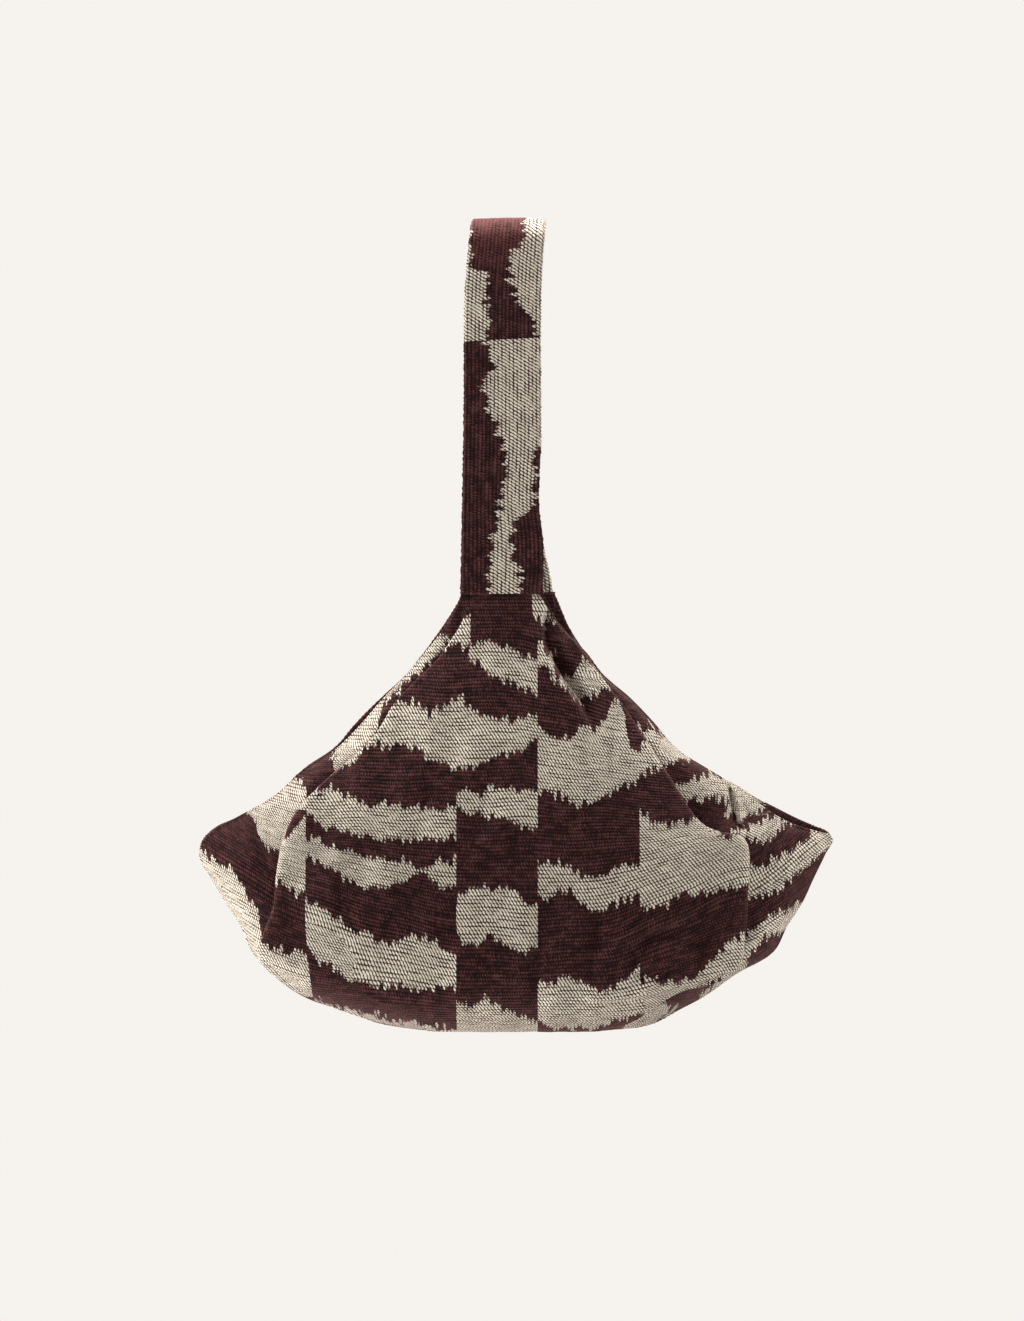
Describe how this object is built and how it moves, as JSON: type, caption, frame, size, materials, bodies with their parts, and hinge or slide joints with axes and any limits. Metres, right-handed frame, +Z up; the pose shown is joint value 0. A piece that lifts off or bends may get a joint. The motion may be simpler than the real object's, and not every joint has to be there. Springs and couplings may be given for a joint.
{
  "type": "carrier bag",
  "caption": "Soft lined carrier bag with a wide slouching mouth and pointed side wings, hung from a flat loop strap of the same woven cloth.",
  "frame": {"origin": "the middle of the strap's inner face at its crown, where a hook carries the bag", "axes": "+Z up, -Y out of the bag's front panel, +X to the right seen from the front"},
  "size_m": [0.38, 0.1318, 0.4875],
  "materials": {
    "cloth": "ribbed chenille weave in burgundy and ecru, matt",
    "lining": "plain cotton lining, matt",
    "webbing": "stiff woven webbing, matt",
    "metal": "satin nickel"
  },
  "bodies": {
    "strap": {"strap_sleeve": "cloth", "strap_core": "webbing"},
    "bag": {"front_panel": "cloth", "front_lining": "lining", "front_left_hem": "cloth", "front_right_hem": "cloth", "strap_root_front": "cloth", "front_stay": "webbing", "snap_washer_front": "metal", "back_panel": "cloth", "back_lining": "lining", "back_left_hem": "cloth", "back_right_hem": "cloth", "strap_root_back": "cloth", "back_stay": "webbing", "snap_washer_back": "metal", "snap_socket": "metal", "snap_stud": "metal"}
  },
  "joints": [
    {"name": "strap_fold", "type": "hinge", "parent": "strap", "child": "bag", "pos_m": [-0.0045, 0, -0.219], "axis": [1, 0, 0], "range_deg": [-110, 110], "deforming": ["strap_root_front", "strap_root_back"]}
  ]
}
